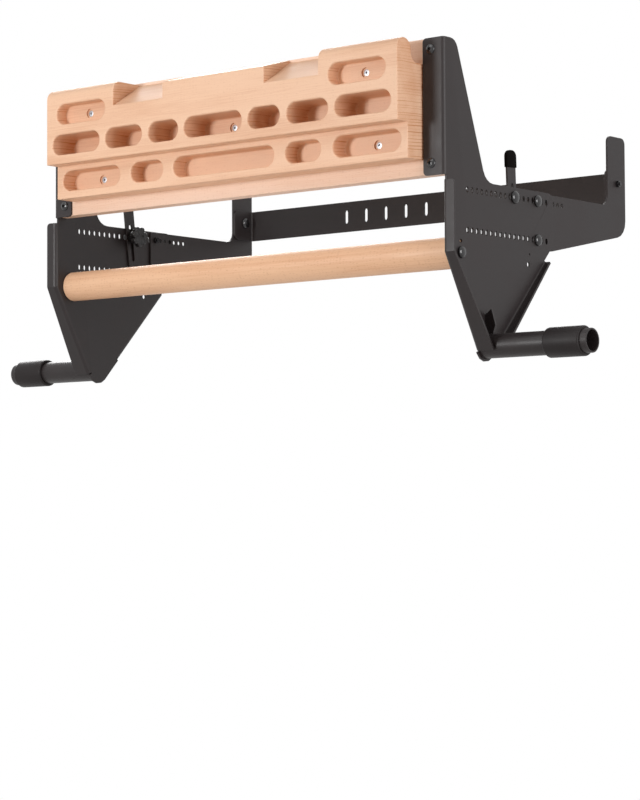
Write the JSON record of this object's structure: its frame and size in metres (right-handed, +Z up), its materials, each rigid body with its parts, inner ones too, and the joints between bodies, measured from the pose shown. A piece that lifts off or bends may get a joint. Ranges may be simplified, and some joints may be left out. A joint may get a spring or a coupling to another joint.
{
  "type": "doorway hangboard frame",
  "caption": "Wooden hangboard and pull-up bar on a black folded-steel frame that clamps into a doorway, with side handles and swinging clamp levers.",
  "frame": {"origin": "middle of the doorway's upper front edge: on the casing face that both sleeves rest on, level with the clamp caps' reach, midway between the side plates", "axes": "+X to the right as seen by the user, +Y through the doorway, +Z up"},
  "size_m": [0.978, 0.4561, 0.3921],
  "materials": {
    "beech": "sanded beech with a matt oil",
    "backing_wood": "sanded pale wood",
    "powder_coat": "fine matt black powder coat",
    "zinc": "bright zinc",
    "black_bolt": "glossy black",
    "rubber": "satin black rubber",
    "knob_plastic": "matt black"
  },
  "bodies": {
    "frame": {"hangboard": "beech", "backing_board": "backing_wood", "pull_up_bar": "beech", "rear_rail": "powder_coat", "hangboard_screw_top_left": "zinc", "hangboard_screw_top_right": "zinc", "hangboard_screw_centre": "zinc", "hangboard_screw_lower_left": "zinc", "hangboard_screw_lower_right": "zinc", "side_plate_left": "powder_coat", "flange_bolt_top_left": "black_bolt", "flange_bolt_bottom_left": "black_bolt", "flange_nut_top_left": "zinc", "flange_nut_bottom_left": "zinc", "bar_bolt_left": "black_bolt", "handle_tube_left": "powder_coat", "handle_gusset_left": "powder_coat", "handle_sleeve_left": "rubber", "rear_arm_left": "powder_coat", "arm_bolt_top_left": "black_bolt", "arm_bolt_bottom_left": "black_bolt", "arm_nut_top_left": "black_bolt", "arm_nut_bottom_left": "black_bolt", "rail_bolt_left": "black_bolt", "rail_nut_left": "black_bolt", "clamp_bolt_left": "black_bolt", "side_plate_right": "powder_coat", "flange_bolt_top_right": "black_bolt", "flange_bolt_bottom_right": "black_bolt", "flange_nut_top_right": "zinc", "flange_nut_bottom_right": "zinc", "bar_bolt_right": "black_bolt", "handle_tube_right": "powder_coat", "handle_gusset_right": "powder_coat", "handle_sleeve_right": "rubber", "rear_arm_right": "powder_coat", "arm_bolt_top_right": "black_bolt", "arm_bolt_bottom_right": "black_bolt", "arm_nut_top_right": "black_bolt", "arm_nut_bottom_right": "black_bolt", "rail_bolt_right": "black_bolt", "rail_nut_right": "black_bolt", "clamp_bolt_right": "black_bolt"},
    "lever_pivot_left": {"clamp_washer_left": "black_bolt"},
    "lever_left": {"clamp_lever_left": "powder_coat", "clamp_cap_left": "rubber"},
    "knob_left": {"clamp_knob_left": "knob_plastic"},
    "lever_pivot_right": {"clamp_washer_right": "black_bolt"},
    "lever_right": {"clamp_lever_right": "powder_coat", "clamp_cap_right": "rubber"},
    "knob_right": {"clamp_knob_right": "knob_plastic"}
  },
  "joints": [
    {"name": "lever_swing_right", "type": "hinge", "parent": "frame", "child": "lever_pivot_right", "pos_m": [0.318, 0.04545, -0.06], "axis": [1, 0, 0], "range_deg": [-32.5, 27.5]},
    {"name": "lever_slide_right", "type": "slide", "parent": "lever_pivot_right", "child": "lever_right", "axis": [0, -0.0436, 0.999], "range_m": [-0.015, 0.031]},
    {"name": "knob_turn_right", "type": "hinge", "parent": "frame", "child": "knob_right", "pos_m": [0.318, 0.04545, -0.06], "axis": [1, 0, 0], "continuous": true},
    {"name": "lever_swing_left", "type": "hinge", "parent": "frame", "child": "lever_pivot_left", "pos_m": [-0.318, 0.04545, -0.06], "axis": [1, 0, 0], "range_deg": [-37, 23]},
    {"name": "lever_slide_left", "type": "slide", "parent": "lever_pivot_left", "child": "lever_left", "axis": [0, -0.1219, 0.9925], "range_m": [-0.015, 0.031]},
    {"name": "knob_turn_left", "type": "hinge", "parent": "frame", "child": "knob_left", "pos_m": [-0.318, 0.04545, -0.06], "axis": [1, 0, 0], "continuous": true}
  ]
}
